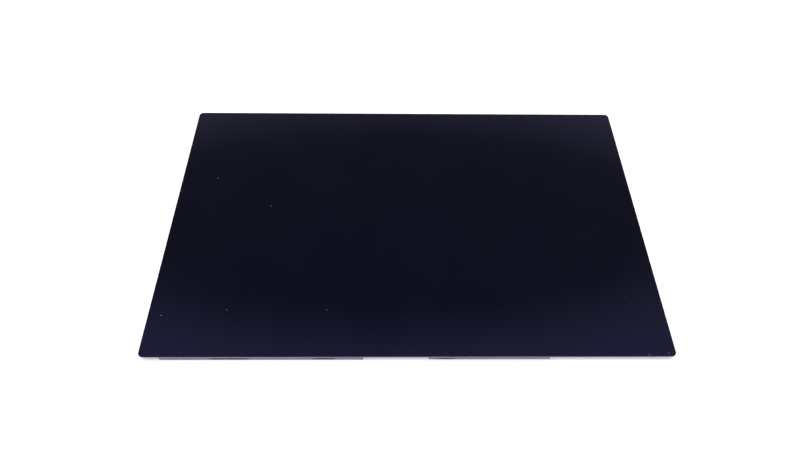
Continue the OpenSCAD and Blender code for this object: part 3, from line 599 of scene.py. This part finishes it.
def solids(node: str) -> list[Box]:
    """Finds the separate solids of a CAD node.

    Args:
        node: The node's name.

    Returns:
        The lowest and highest corner of each solid, from left to right.
    """
    made = bmesh.new()
    made.from_mesh(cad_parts[node].data)
    bmesh.ops.remove_doubles(made, verts=made.verts, dist=to_m(WELD))
    boxes: list[Box] = []
    for start in made.verts:
        if start.tag:
            continue
        start.tag = True
        group = [start]
        for vert in group:
            for edge in vert.link_edges:
                other = edge.other_vert(vert)
                if not other.tag:
                    other.tag = True
                    group.append(other)
        low = Vector([min(v.co[i] for v in group) for i in range(3)])
        high = Vector([max(v.co[i] for v in group) for i in range(3)])
        boxes.append((low, high))
    made.free()
    return sorted(boxes, key=lambda box: tuple(box[0]))


class Workshop:
    """Makes each finish once, and turns finished meshes into pieces of the module."""

    def __init__(self) -> None:
        """Starts with no finish made."""
        self.made: dict[str, bpy.types.Material] = {}

    def material(self, finish: Finish) -> bpy.types.Material:
        """Returns the material of a finish, and makes it the first time.

        Args:
            finish: The finish of the real piece.

        Returns:
            Its material.
        """
        if finish.name not in self.made:
            self.made[finish.name] = finish.build()
        return self.made[finish.name]

    def dress(self, node: str, finish: Finish) -> None:
        """Gives a CAD node its finish.

        Args:
            node: The node's name.
            finish: The finish of the real piece.
        """
        material = self.material(finish)
        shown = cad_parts[node]
        if not shown.material_slots:
            shown.data.materials.append(material)
        for place in shown.material_slots:
            place.material = material
        LOG.info("%s: %s", node, finish.name)

    def piece(self, name: str, made: Work, finish: Finish, slot: str) -> None:
        """Turns a finished mesh into a piece that rides with the module.

        Args:
            name: The piece's name.
            made: The mesh, in the row's frame. It is freed here.
            finish: The finish of the real piece.
            slot: Not used.
        """
        mesh = to_mesh(name, made)
        mesh.materials.append(self.material(finish))
        shown = show(name, mesh)
        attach(shown, "root")
        LOG.info("%s: %d faces, %s", name, len(mesh.polygons), finish.name)


@dataclass
class SubAssembly:
    """A group of pieces that is put together before it goes into the module."""

    shop: Workshop

    def finishes(self) -> dict[str, Finish]:
        """Returns the finish of each of the group's CAD nodes."""
        return {}

    def details(self) -> None:
        """Adds the small pieces that only show from near by. A group may have none."""

    def build(self) -> None:
        """Dresses the group's CAD nodes, then adds its small pieces."""
        for node, finish in self.finishes().items():
            self.shop.dress(node, finish)
        self.details()


@dataclass
class CoverGlass(SubAssembly):
    """The cover glass with its ink, the bonded touch sensor and the dust on its face."""

    # Places of the specks from the middle of the glass, each with the speck's length
    specks: tuple[Triple, ...] = (
        (-137.6, 35.3, 0.7),
        (-95.9, 10.0, 0.6),
        (-114.4, -70.9, 0.6),
        (-51.4, -70.9, 0.6),
        (-154.7, -74.7, 0.7),
        (-162.0, 23.2, 0.7),
        (146.1, -101.2, 0.7),
        (158.4, -100.0, 0.6),
        (140.0, -62.1, 0.4),
    )
    speck_t: float = 0.06
    # Width of a speck as a share of its length, height of its middle over the glass as a share
    # of half its thickness, share of its own offset by which a fibre is bent aside, and how
    # often the ball that it starts from is subdivided
    slim: float = 0.5
    rest: float = 0.8
    bend: float = 0.5
    cuts: int = 2
    seed: int = 11

    def finishes(self) -> dict[str, Finish]:
        """Returns the finish of each layer and flex."""
        return {
            "cover_glass": GLASS,
            "border_print": INK,
            "lens_adhesive": ADHESIVE,
            "touch_sensor": SENSOR,
            "panel_adhesive": ADHESIVE,
            "touch_flex_left": FLEX,
            "touch_flex_middle": FLEX,
            "touch_flex_right": FLEX,
        }

    def details(self) -> None:
        """Makes the specks of lint as one piece of flat, bent fibres that lie on the glass."""
        draw = random.Random(self.seed)
        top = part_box("cover_glass")[1].z
        made = bmesh.new()
        for x, y, length in self.specks:
            turn = Euler((0, 0, draw.uniform(0, math.pi))).to_matrix().to_4x4()
            half = (to_m(length) / 2, to_m(length) * self.slim / 2, to_m(self.speck_t) / 2)
            place = Vector((to_m(x), to_m(y), top + half[2] * self.rest))
            shape = Matrix.Translation(place) @ turn @ Matrix.Diagonal((*half, 1.0))
            ball = bmesh.ops.create_icosphere(
                made, subdivisions=self.cuts, radius=1.0, matrix=shape
            )
            for vert in ball["verts"]:
                off = vert.co - place
                vert.co.x += off.y * draw.uniform(-self.bend, self.bend)
                vert.co.y += off.x * draw.uniform(-self.bend, self.bend)
        self.shop.piece("glass_dust", made, LINT, "foam_tape")


@dataclass
class DisplayPanel(SubAssembly):
    """The liquid crystal panel: two glasses between polarizers, its chips and its flexes."""

    def finishes(self) -> dict[str, Finish]:
        """Returns the finish of each layer, of the bare chips and of the flexes."""
        return {
            "front_polarizer": POLARIZER,
            "filter_glass": PANEL,
            "array_glass": PANEL,
            "rear_polarizer": POLARIZER,
            "driver_chips": SILICON,
            "panel_flex_left": FLEX,
            "panel_flex_right": FLEX,
        }


@dataclass
class Backlight(SubAssembly):
    """The moulded frame with the stack of films, the light guide and the lamps."""

    def finishes(self) -> dict[str, Finish]:
        """Returns the finish of the frame, of each film and of the lamps."""
        return {
            "mould_frame": FRAME_PLASTIC,
            "upper_prism_sheet": PRISM,
            "lower_prism_sheet": PRISM,
            "diffuser_sheet": DIFFUSER,
            "light_guide": GUIDE,
            "reflector_sheet": REFLECTOR,
            "lamp_strip": LAMP_STRIP,
            "lamp_housings": LAMP_BODY,
            "lamp_windows": PHOSPHOR,
        }


@dataclass
class RearTray(SubAssembly):
    """The pressed tray that closes the back, and the tapes that hold the module together."""

    def finishes(self) -> dict[str, Finish]:
        """Returns the finish of the tray and the tapes."""
        return {
            "rear_cover": ROLLED_SHEET,
            "rim_tape": BLACK_TAPE,
            "edge_tape": BLACK_TAPE,
            "board_tape": FOAM_TAPE,
        }


@dataclass
class CircuitBoard(SubAssembly):
    """A board behind the near edge, with its parts, its sockets and its foil shield.

    The parts hang from the board's underside, so their solder, leads and marks do too.
    """

    name: str
    chips: tuple[str, ...]
    sockets: tuple[str, ...]
    seed: int
    # Nodes with a finish of their own, and the one among them that holds coils
    others: dict[str, Finish] = field(default_factory=dict)
    coils: str = ""
    # Leads of a chip: their pitch, width, reach past the package, lap over both ends of that
    # reach, thickness, distance of the first from the package's corner, and fewest on a side
    lead_pitch: float = 0.65
    lead_w: float = 0.3
    lead_out: float = 0.2
    lead_lap: float = 0.04
    lead_t: float = 0.1
    corner_gap: float = 0.55
    fewest_leads: int = 2
    # Dot at a chip's first corner: radius, distance from both sides of the package, share of its
    # thickness by which its middle lies under the package's face, and sides of its outline
    dot_r: float = 0.22
    dot_in: float = 0.7
    dot_proud: float = 0.25
    dot_sides: int = 20
    # Ramps of solder: reach and height on a lead, on a capacitor's end and on a contact's tail,
    # and the cuts along each that give it its hollow face
    lead_solder: tuple[float, float] = (0.14, 0.09)
    end_solder: tuple[float, float] = (0.24, 0.5)
    tail_solder: tuple[float, float] = (0.22, 0.12)
    solder_cuts: int = 3
    # Printed marks: thickness, width of a line, length of a bracket's arm, distance from the
    # package, and the radius, distance and sides of the arrow beside a socket's first contact
    ink_t: float = 0.02
    line_w: float = 0.13
    arm: float = 0.7
    print_gap: float = 0.35
    arrow_r: float = 0.35
    arrow_gap: float = 0.8
    arrow_sides: int = 3
    # Vias: radius of the ring, width of the ring, depth of its dimple, thickness, sides, spacing
    # of the grid, share of it in use, distance from parts, and bare margins at both ends and at
    # the near and the far side
    via_r: float = 0.24
    via_ring: float = 0.1
    via_dip: float = 0.015
    via_t: float = 0.02
    via_sides: int = 12
    via_pitch: float = 1.5
    via_share: float = 0.4
    via_clear: float = 0.15
    via_margin_x: float = 4.5
    via_margin_near: float = 0.7
    via_margin_far: float = 2.0
    # Height of the board's underside in metres, and the shape that each ramp of solder copies
    level: float = field(init=False, default=0.0)
    shape: bpy.types.Mesh | None = field(init=False, default=None)

    def finishes(self) -> dict[str, Finish]:
        """Returns the finish of the board, its parts and its shield."""
        chosen = {
            f"{self.name}_board": BOARD,
            # The shield's colour holds painted shade as well as the foil's own grey
            f"{self.name}_shield": FOIL_PAINTED_SHADE,
            f"{self.name}_capacitors": CERAMIC,
            f"{self.name}_terminals": TIN,
        }
        for chip in self.chips:
            chosen[chip] = EPOXY
        for socket in self.sockets:
            chosen[socket] = SOCKET
            chosen[f"{socket}_contacts"] = GOLD
        return chosen | self.others

    def details(self) -> None:
        """Makes the leads, the solder, the marks and the vias."""
        self.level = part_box(f"{self.name}_board")[0].z
        self.shape = self.ramp_shape()
        self.leads()
        self.solder()
        self.corner_dots()
        self.print_marks()
        self.vias()
        bpy.data.meshes.remove(self.shape)

    def ramp_shape(self) -> bpy.types.Mesh:
        """Makes a ramp with a hollow face, as solder wets a wall, one unit each way.

        Returns:
            The mesh that each ramp is a copy of, with its wall at X = 0 and its top at Z = 0.
        """
        half = 0.5
        made = bmesh.new()
        bmesh.ops.create_cube(made, size=1.0, matrix=Matrix.Translation((half, 0.0, -half)))
        outward = [e for e in made.edges if abs(e.verts[0].co.x - e.verts[1].co.x) > half]
        bmesh.ops.subdivide_edges(made, edges=outward, cuts=self.solder_cuts)
        for vert in made.verts:
            if vert.co.z < -half:
                vert.co.z = -((1.0 - vert.co.x) ** 2)
        bmesh.ops.remove_doubles(made, verts=made.verts, dist=UNIT_WELD)
        return to_mesh("solder_ramp", made)

    def ramp(
        self, made: Work, foot: Vector, turn: float, size: tuple[float, float], width: float
    ) -> None:
        """Adds a ramp of solder.

        Args:
            made: The mesh to add to.
            foot: Where the middle of the wall meets the board, in metres.
            turn: The way that the ramp runs out, as an angle from X.
            size: How far it reaches along the board and down the wall.
            width: Its width.
        """
        before = len(made.verts)
        made.from_mesh(self.shape)
        stretch = Matrix.Diagonal((to_m(size[0]), to_m(width), to_m(size[1]), 1.0))
        place = Matrix.Translation(foot) @ Matrix.Rotation(turn, 4, "Z") @ stretch
        bmesh.ops.transform(made, matrix=place, verts=made.verts[before:])

    def disc(
        self, made: Work, place: Matrix, radius: float, thick: float, sides: int
    ) -> list[bmesh.types.BMVert]:
        """Adds a flat disc, or a flat shape with fewer sides.

        Args:
            made: The mesh to add to.
            place: Its middle, in metres, and its turn.
            radius: Its radius.
            thick: Its thickness.
            sides: The number of sides of its outline.

        Returns:
            Its corners.
        """
        added = bmesh.ops.create_cone(
            made, cap_ends=True, segments=sides, radius1=to_m(radius), radius2=to_m(radius),
            depth=to_m(thick), matrix=place,
        )
        return added["verts"]

    def block(self, made: Work, middle: Vector, size: Sequence[float]) -> None:
        """Adds a small block.

        Args:
            made: The mesh to add to.
            middle: Its middle, in metres.
            size: Its size along X, Y and Z.
        """
        scale = Matrix.Diagonal((*[to_m(s) for s in size], 1.0))
        bmesh.ops.create_cube(made, size=1.0, matrix=Matrix.Translation(middle) @ scale)

    def leads(self) -> None:
        """Makes a row of leads along each side of each chip, flat on the board."""
        leads, ramps = bmesh.new(), bmesh.new()
        drop = Vector((0.0, 0.0, to_m(self.lead_t) / 2))
        for chip in self.chips:
            low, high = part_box(chip)
            middle, half = (low + high) / 2, (high - low) / 2
            base = Vector((middle.x, middle.y, self.level))
            for quarter in range(4):
                turn = quarter * math.pi / 2
                reach, run = (half.x, half.y) if quarter % 2 == 0 else (half.y, half.x)
                room = 2 * (run - to_m(self.corner_gap))
                count = max(self.fewest_leads, int(room / to_m(self.lead_pitch)) + 1)
                outward = Matrix.Rotation(turn, 3, "Z")
                long, wide = self.lead_out + self.lead_lap, self.lead_w
                size = (wide, long, self.lead_t) if quarter % 2 else (long, wide, self.lead_t)
                for i in range(count):
                    along = (i - (count - 1) / 2) * to_m(self.lead_pitch)
                    out = Vector((reach + to_m(self.lead_out) / 2, along, 0.0))
                    end = Vector((reach + to_m(self.lead_out), along, 0.0))
                    self.block(leads, base + outward @ out - drop, size)
                    self.ramp(ramps, base + outward @ end, turn, self.lead_solder, self.lead_w)
        self.shop.piece(f"{self.name}_chip_leads", leads, TIN, "tinned_metal")
        self.shop.piece(f"{self.name}_lead_solder", ramps, SOLDER, "tinned_metal")

    def solder(self) -> None:
        """Makes the ramps at the capacitors' ends and behind the sockets' contacts."""
        made = bmesh.new()
        bodies = [(low + high) / 2 for low, high in solids(f"{self.name}_capacitors")]
        for low, high in solids(f"{self.name}_terminals"):
            middle = (low + high) / 2
            body = min(bodies, key=lambda spot: (spot - middle).length)
            is_right = middle.x > body.x
            foot = Vector((high.x if is_right else low.x, middle.y, self.level))
            turn = 0.0 if is_right else math.pi
            width = to_mm(high.y - low.y)
            self.ramp(made, foot, turn, self.end_solder, width)
        for socket in self.sockets:
            for low, high in solids(f"{socket}_contacts"):
                foot = Vector(((low.x + high.x) / 2, high.y, self.level))
                width = to_mm(high.x - low.x)
                self.ramp(made, foot, math.pi / 2, self.tail_solder, width)
        self.shop.piece(f"{self.name}_solder", made, SOLDER, "tinned_metal")

    def corner_dots(self) -> None:
        """Makes the round dot that marks the first corner of each chip."""
        made = bmesh.new()
        for chip in self.chips:
            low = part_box(chip)[0]
            inward = to_m(self.dot_in)
            offset = Vector((inward, inward, -to_m(self.ink_t) * self.dot_proud))
            place = Matrix.Translation(low + offset)
            self.disc(made, place, self.dot_r, self.ink_t, self.dot_sides)
        self.shop.piece(f"{self.name}_chip_dots", made, FERRITE, "chip_epoxy")

    def print_marks(self) -> None:
        """Prints brackets round the chips and coils, and an arrow at each first contact."""
        made = bmesh.new()
        boxes = [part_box(chip) for chip in self.chips]
        boxes += solids(self.coils) if self.coils else []
        gap, line, arm = self.print_gap, self.line_w, self.arm
        z = self.level - to_m(self.ink_t) / 2
        for low, high in boxes:
            for x, side_x in ((low.x, -1), (high.x, 1)):
                for y, side_y in ((low.y, -1), (high.y, 1)):
                    corner = Vector((x + side_x * to_m(gap), y + side_y * to_m(gap), z))
                    inward_x = Vector((side_x * to_m(arm - line) / 2, 0.0, 0.0))
                    inward_y = Vector((0.0, side_y * to_m(arm + line) / 2, 0.0))
                    self.block(made, corner - inward_x, (arm, line, self.ink_t))
                    self.block(made, corner - inward_y, (line, arm, self.ink_t))
        for socket in self.sockets:
            low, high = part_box(f"{socket}_contacts")
            beside = Matrix.Translation((low.x - to_m(self.arrow_gap), high.y, z))
            place = beside @ Matrix.Rotation(-math.pi / 2, 4, "Z")
            self.disc(made, place, self.arrow_r, self.ink_t, self.arrow_sides)
        self.shop.piece(f"{self.name}_board_print", made, PRINT_INK, "reflector_film")

    def vias(self) -> None:
        """Makes the plated holes between the parts, as gilded rings round a dimple."""
        made = bmesh.new()
        draw = random.Random(self.seed)
        covering = [node for node in self.finishes() if node != f"{self.name}_shield"]
        covering.remove(f"{self.name}_board")
        taken = [box for node in covering for box in solids(node)]
        low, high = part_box(f"{self.name}_board")
        clear = to_m(self.via_clear + self.via_r)
        pitch = to_m(self.via_pitch)
        wide = high.x - low.x - 2 * to_m(self.via_margin_x)
        deep = high.y - low.y - to_m(self.via_margin_near + self.via_margin_far)
        columns, rows = int(wide / pitch) + 1, int(deep / pitch) + 1
        for column in range(columns):
            for row in range(rows):
                x = low.x + to_m(self.via_margin_x) + column * pitch
                y = low.y + to_m(self.via_margin_near) + row * pitch
                is_used = draw.random() < self.via_share
                is_free = all(
                    x < a.x - clear or x > b.x + clear or y < a.y - clear or y > b.y + clear
                    for a, b in taken
                )
                if is_used and is_free:
                    self.via(made, Vector((x, y, self.level)))
        self.shop.piece(f"{self.name}_vias", made, GOLD, "gilded_contact")

    def via(self, made: Work, place: Vector) -> None:
        """Adds one via, a low ring with a dimple in it.

        Args:
            made: The mesh to add to.
            place: Its middle on the board's underside, in metres.
        """
        spot = Matrix.Translation(place)
        corners = self.disc(made, spot, self.via_r, self.via_t, self.via_sides)
        faces = dict.fromkeys(face for vert in corners for face in vert.link_faces)
        shown = min(faces, key=lambda face: face.calc_center_median().z)
        shown.normal_update()
        bmesh.ops.inset_individual(
            made, faces=[shown], thickness=to_m(self.via_ring), depth=-to_m(self.via_dip)
        )


@dataclass
class Table:
    """The white table and the plain room round it."""

    # Half the table's width, and how far its top stays under the module
    half: float = 6000.0
    drop: float = 0.02
    # Its colour and roughness, and the glow on top that only the eye and reflections see
    colour: str = "eeeef0"
    roughness: float = 0.9
    lift: float = 0.2
    # The same glow far from the soft box, and the distances between which it changes
    far_lift: float = 0.48
    lit_reach: float = 400.0
    far_reach: float = 1300.0
    # Light of the room on every side, and its strength
    room_colour: str = "f2f1fb"
    level: float = 0.72
    # The darker patch of ceiling: its height over the horizon, the half width of its core and of
    # the whole, how far it is squashed along X, and how dark it is
    patch_rise_deg: float = 55.3
    patch_core_deg: float = 7.5
    patch_reach_deg: float = 14.6
    patch_squash: float = 0.32
    patch_dark: float = 0.33

    def build(self) -> None:
        """Makes the table top under the module, and the world."""
        made = bmesh.new()
        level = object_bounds()[0].z - to_m(self.drop)
        place = Matrix.Translation((0.0, 0.0, level))
        bmesh.ops.create_grid(
            made, x_segments=1, y_segments=1, size=to_m(self.half), matrix=place
        )
        mesh = to_mesh("table_top", made)
        mesh.materials.append(self.surface())
        show("table_top", mesh)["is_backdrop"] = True
        self.room()
        LOG.info("table_top: stage")

    def seen(self, tree: Tree) -> Socket:
        """Finds the rays of the eye, of reflections and of what shines through.

        Args:
            tree: The node tree.

        Returns:
            A value that is 1 for those rays, and 0 for the ones that carry light.
        """
        rays = ("Is Camera Ray", "Is Glossy Ray", "Is Transmission Ray")
        eye, glossy, through = [add_node(tree, "LightPath", give=ray) for ray in rays]
        both = add_node(tree, "Math", {"operation": "ADD"}, value=eye, value_2=glossy)
        return add_node(
            tree, "Math", {"operation": "ADD", "use_clamp": True}, value=both, value_2=through
        )

    def surface(self) -> bpy.types.Material:
        """Makes the table's material, matt white card that still takes a shadow.

        Returns:
            The material.
        """
        material = bpy.data.materials.new("white_card_table")
        tree = bare_tree(material)
        place = add_node(tree, "TexCoord", give="Object")
        away = add_node(tree, "VectorMath", {"operation": "LENGTH"}, vector=place)
        glow = add_node(
            tree, "MapRange", value=away,
            from_min=to_m(self.lit_reach), from_max=to_m(self.far_reach),
            to_min=self.lift, to_max=self.far_lift,
        )
        lift = add_node(
            tree, "Math", {"operation": "MULTIPLY"}, value=self.seen(tree), value_2=glow
        )
        shader = add_node(
            tree, "BsdfPrincipled", base_color=linear(self.colour), roughness=self.roughness,
            specular_ior_level=0.0, emission_color=WHITE, emission_strength=lift,
        )
        add_node(tree, "OutputMaterial", surface=shader)
        return material

    def room(self) -> None:
        """Makes the world: an even pale room, white to the eye, with a darker patch overhead."""
        world = bpy.data.worlds.new("pale_room")
        bpy.context.scene.world = world
        tree = bare_tree(world)
        even = add_node(tree, "Background", color=linear(self.room_colour), strength=self.level)
        white = add_node(tree, "Background", color=WHITE, strength=1.0)
        mirrored = add_node(tree, "Background", color=self.patch(tree), strength=1.0)
        glossy = add_node(tree, "LightPath", give="Is Glossy Ray")
        looks = add_node(tree, "MixShader", fac=glossy, shader=white, shader_2=mirrored)
        both = add_node(tree, "MixShader", fac=self.seen(tree), shader=even, shader_2=looks)
        add_node(tree, "OutputWorld", surface=both)

    def patch(self, tree: Tree) -> Socket:
        """Adds what reflections see: white all round, with a broad, soft, darker patch of ceiling.

        Args:
            tree: The node tree.

        Returns:
            The colour of the room in each direction.
        """
        rise = math.radians(self.patch_rise_deg)
        toward = Vector((0.0, math.cos(rise), math.sin(rise)))
        way = add_node(tree, "TexCoord", give="Generated")
        broad = add_node(
            tree, "VectorMath", {"operation": "MULTIPLY"},
            vector=way, vector_2=(self.patch_squash, 1.0, 1.0),
        )
        unit = add_node(tree, "VectorMath", {"operation": "NORMALIZE"}, vector=broad)
        near = add_node(
            tree, "VectorMath", {"operation": "DOT_PRODUCT"}, vector=unit, vector_2=toward
        )
        apart = add_node(tree, "Math", {"operation": "ARCCOSINE"}, value=near)
        fade = add_node(
            tree, "MapRange", {"interpolation_type": "SMOOTHSTEP"}, value=apart,
            from_min=math.radians(self.patch_core_deg),
            from_max=math.radians(self.patch_reach_deg),
            to_min=self.patch_dark, to_max=1.0,
        )
        return add_node(tree, "Mix", {"data_type": "RGBA"}, factor=fade, a=BLACK, b=WHITE)


@dataclass
class SoftBox:
    """A large soft box, almost overhead, that no reflection shows."""

    name: str = "key_softbox"
    place: Triple = (-60.0, -80.0, 1100.0)
    size: float = 900.0
    watts: float = 11.0

    def build(self) -> None:
        """Makes the lamp and aims it at the module."""
        lamp = bpy.data.lights.new(self.name, "AREA")
        lamp.shape = "SQUARE"
        lamp.size = to_m(self.size)
        lamp.energy = self.watts
        shown = show(self.name, lamp)
        spot = Vector([to_m(v) for v in self.place])
        shown.location = spot
        shown.rotation_euler = (-spot).to_track_quat("-Z", "Y").to_euler()
        shown.visible_glossy = False
        LOG.info("%s: %.0f W", self.name, self.watts)


@dataclass
class Viewpoint:
    """Where the photograph was taken from, worked out from the glass's outline."""

    place: Triple = (-11.12, -235.25, 340.62)
    pitch_deg: float = 55.644
    yaw_deg: float = -1.588
    roll_deg: float = 1.428
    # Focal length and width of the picture in pixels, the sensor's width, and the distance of
    # the nearest thing that the camera sees
    focal_px: float = 584.6
    picture_w_px: int = 800
    sensor: float = 36.0
    nearest: float = 10.0

    def build(self) -> None:
        """Makes the camera and hands it to the scene."""
        lens = bpy.data.cameras.new("viewpoint")
        lens.sensor_fit = "HORIZONTAL"
        lens.sensor_width = self.sensor
        lens.lens = self.focal_px / self.picture_w_px * self.sensor
        lens.clip_start = to_m(self.nearest)
        camera = show("viewpoint", lens)
        # An unturned camera looks straight down
        turn = (
            Matrix.Rotation(math.radians(self.yaw_deg), 4, "Z")
            @ Matrix.Rotation(math.radians(90.0 - self.pitch_deg), 4, "X")
            @ Matrix.Rotation(math.radians(self.roll_deg), 4, "Z")
        )
        camera.matrix_world = Matrix.Translation([to_m(v) for v in self.place]) @ turn
        bpy.context.scene.camera = camera
        LOG.info("viewpoint: %.1f mm lens", lens.lens)


def main() -> None:
    """Builds the module and what stands round it, in order."""
    logging.basicConfig(level=logging.INFO)
    bpy.context.scene.view_settings.view_transform = "Standard"
    Viewpoint().build()
    shop = Workshop()
    control = CircuitBoard(
        shop,
        name="control",
        chips=("timing_controller", "backlight_driver", "power_regulator", "memory_chip"),
        sockets=("display_socket", "link_socket"),
        seed=5,
        others={"control_inductors": FERRITE, "display_socket_shell": SHELL, "test_pads": GOLD},
        coils="control_inductors",
    )
    touch = CircuitBoard(
        shop,
        name="touch",
        chips=("touch_controller", "touch_regulator"),
        sockets=("touch_socket",),
        seed=8,
    )
    module = (CoverGlass(shop), DisplayPanel(shop), Backlight(shop), RearTray(shop))
    for group in (*module, control, touch):
        group.build()
    Table().build()
    SoftBox().build()


if __name__ == "__main__":
    main()
